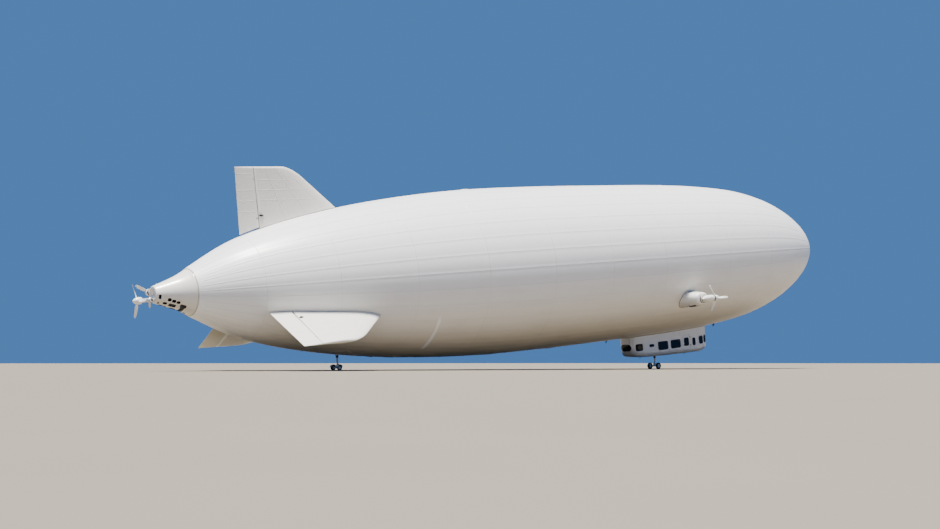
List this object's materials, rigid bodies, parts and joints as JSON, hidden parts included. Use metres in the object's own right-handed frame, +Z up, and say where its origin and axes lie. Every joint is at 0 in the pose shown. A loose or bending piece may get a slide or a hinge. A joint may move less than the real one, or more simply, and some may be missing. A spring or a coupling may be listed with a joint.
{
  "type": "semi-rigid airship, 1:2 scale model",
  "caption": "Semi-rigid airship with a round tapered hull, inverted-Y fins, swivelling side and stern propellers, a glazed gondola and castoring gears.",
  "frame": {"origin": "centre of the bounding box's base, on the floor under the parked craft", "axes": "+X towards the nose, +Y to port, +Z up; the hull's own axis is pitched nose up by 5.68 degrees, as it stands on its gears"},
  "size_m": [37.5734, 9.75, 8.8899],
  "materials": {
    "hull": "satin white laminate",
    "fin": "satin white skin",
    "valve": "brown ring round a dark grille",
    "composite": "painted white composite",
    "engine": "dark casting",
    "gearbox": "painted white casting",
    "propeller": "dark composite blades",
    "gondola": "painted white sandwich panel",
    "glass": "tinted glazing",
    "seat": "upholstered",
    "console": "matt dark",
    "gear": "painted white leg and fork",
    "tyre": "black rubber"
  },
  "bodies": {
    "airframe": {"envelope": "hull", "valve_fore": "valve", "valve_middle": "valve", "valve_aft": "valve", "valve_stern": "valve", "nose_fitting": "composite", "fin_top": "fin", "fin_port": "fin", "fin_starboard": "fin", "nacelle_port": "composite", "nacelle_starboard": "composite", "engine_port": "engine", "engine_starboard": "engine", "stern_housing": "composite", "engine_stern": "engine", "lateral_drive": "composite", "gondola_nose": "gondola", "gondola_tail": "gondola", "gondola_floor": "gondola", "gondola_roof": "gondola", "gondola_side_port": "gondola", "gondola_side_starboard": "gondola", "glazing_nose": "glass", "glazing_tail": "glass", "glazing_port": "glass", "glazing_starboard": "glass", "seats": "seat", "instrument_console": "console", "main_gear_leg": "gear", "tail_gear_leg": "gear"},
    "rudder_top": {"rudder_top": "fin"},
    "rudder_port": {"rudder_port": "fin"},
    "rudder_starboard": {"rudder_starboard": "fin"},
    "swivel_port": {"gearbox_port": "gearbox"},
    "swivel_starboard": {"gearbox_starboard": "gearbox"},
    "swivel_rear": {"gearbox_rear": "gearbox"},
    "propeller_port": {"propeller_port": "propeller"},
    "propeller_starboard": {"propeller_starboard": "propeller"},
    "propeller_rear": {"propeller_rear": "propeller"},
    "propeller_lateral": {"propeller_lateral": "propeller"},
    "door_port": {"door_port": "gondola", "door_glass_port": "glass"},
    "door_starboard": {"door_starboard": "gondola", "door_glass_starboard": "glass"},
    "main_castor": {"main_gear_fork": "gear"},
    "main_wheels": {"main_wheels": "tyre"},
    "tail_castor": {"tail_gear_fork": "gear"},
    "tail_wheels": {"tail_wheels": "tyre"}
  },
  "joints": [
    {"name": "rudder_top_turn", "type": "hinge", "parent": "airframe", "child": "rudder_top", "pos_m": [-14.11508, 0, 6.56598], "axis": [-0.0989, 0, 0.9951], "range_deg": [-20, 20]},
    {"name": "rudder_port_turn", "type": "hinge", "parent": "airframe", "child": "rudder_port", "pos_m": [-13.60144, 3.06413, 1.39996], "axis": [0.0478, 0.8755, -0.4809], "range_deg": [-20, 20]},
    {"name": "rudder_starboard_turn", "type": "hinge", "parent": "airframe", "child": "rudder_starboard", "pos_m": [-13.60144, -3.06413, 1.39996], "axis": [0.0478, -0.8755, -0.4809], "range_deg": [-20, 20]},
    {"name": "swivel_port_tilt", "type": "hinge", "parent": "airframe", "child": "swivel_port", "pos_m": [6.39965, 4.2, 3.13885], "axis": [0, -1, 0], "range_deg": [0, 120]},
    {"name": "swivel_starboard_tilt", "type": "hinge", "parent": "airframe", "child": "swivel_starboard", "pos_m": [6.39965, -4.2, 3.13885], "axis": [0, -1, 0], "range_deg": [0, 120]},
    {"name": "swivel_rear_tilt", "type": "hinge", "parent": "airframe", "child": "swivel_rear", "pos_m": [-18.15477, 0, 2.47121], "axis": [0, -1, 0], "range_deg": [0, 90]},
    {"name": "propeller_port_spin", "type": "hinge", "parent": "swivel_port", "child": "propeller_port", "pos_m": [6.8972, 4.2, 3.18832], "axis": [0.9951, 0, 0.0989], "continuous": true},
    {"name": "propeller_starboard_spin", "type": "hinge", "parent": "swivel_starboard", "child": "propeller_starboard", "pos_m": [6.8972, -4.2, 3.18832], "axis": [0.9951, 0, 0.0989], "continuous": true},
    {"name": "propeller_rear_spin", "type": "hinge", "parent": "swivel_rear", "child": "propeller_rear", "pos_m": [-18.60256, 0, 2.42669], "axis": [0.9951, 0, 0.0989], "continuous": true},
    {"name": "propeller_lateral_spin", "type": "hinge", "parent": "airframe", "child": "propeller_lateral", "pos_m": [-17.90833, 0.625, 2.77207], "axis": [0, 1, 0], "continuous": true},
    {"name": "door_port_hinge", "type": "hinge", "parent": "airframe", "child": "door_port", "pos_m": [9.27229, 0.585, 1.33421], "axis": [0.0989, 0, -0.9951], "range_deg": [0, 100]},
    {"name": "door_starboard_hinge", "type": "hinge", "parent": "airframe", "child": "door_starboard", "pos_m": [9.27229, -0.585, 1.33421], "axis": [-0.0989, 0, 0.9951], "range_deg": [0, 100]},
    {"name": "main_castor_turn", "type": "hinge", "parent": "airframe", "child": "main_castor", "pos_m": [7.409, 0, 0.31486], "axis": [-0.0989, 0, 0.9951], "continuous": true},
    {"name": "main_wheels_roll", "type": "hinge", "parent": "main_castor", "child": "main_wheels", "pos_m": [7.35518, 0, 0.14872], "axis": [0, 1, 0], "continuous": true},
    {"name": "tail_castor_turn", "type": "hinge", "parent": "airframe", "child": "tail_castor", "pos_m": [-10.36988, 0, 0.23044], "axis": [-0.0989, 0, 0.9951], "continuous": true},
    {"name": "tail_wheels_roll", "type": "hinge", "parent": "tail_castor", "child": "tail_wheels", "pos_m": [-10.42766, 0, 0.1041], "axis": [0, 1, 0], "continuous": true}
  ]
}
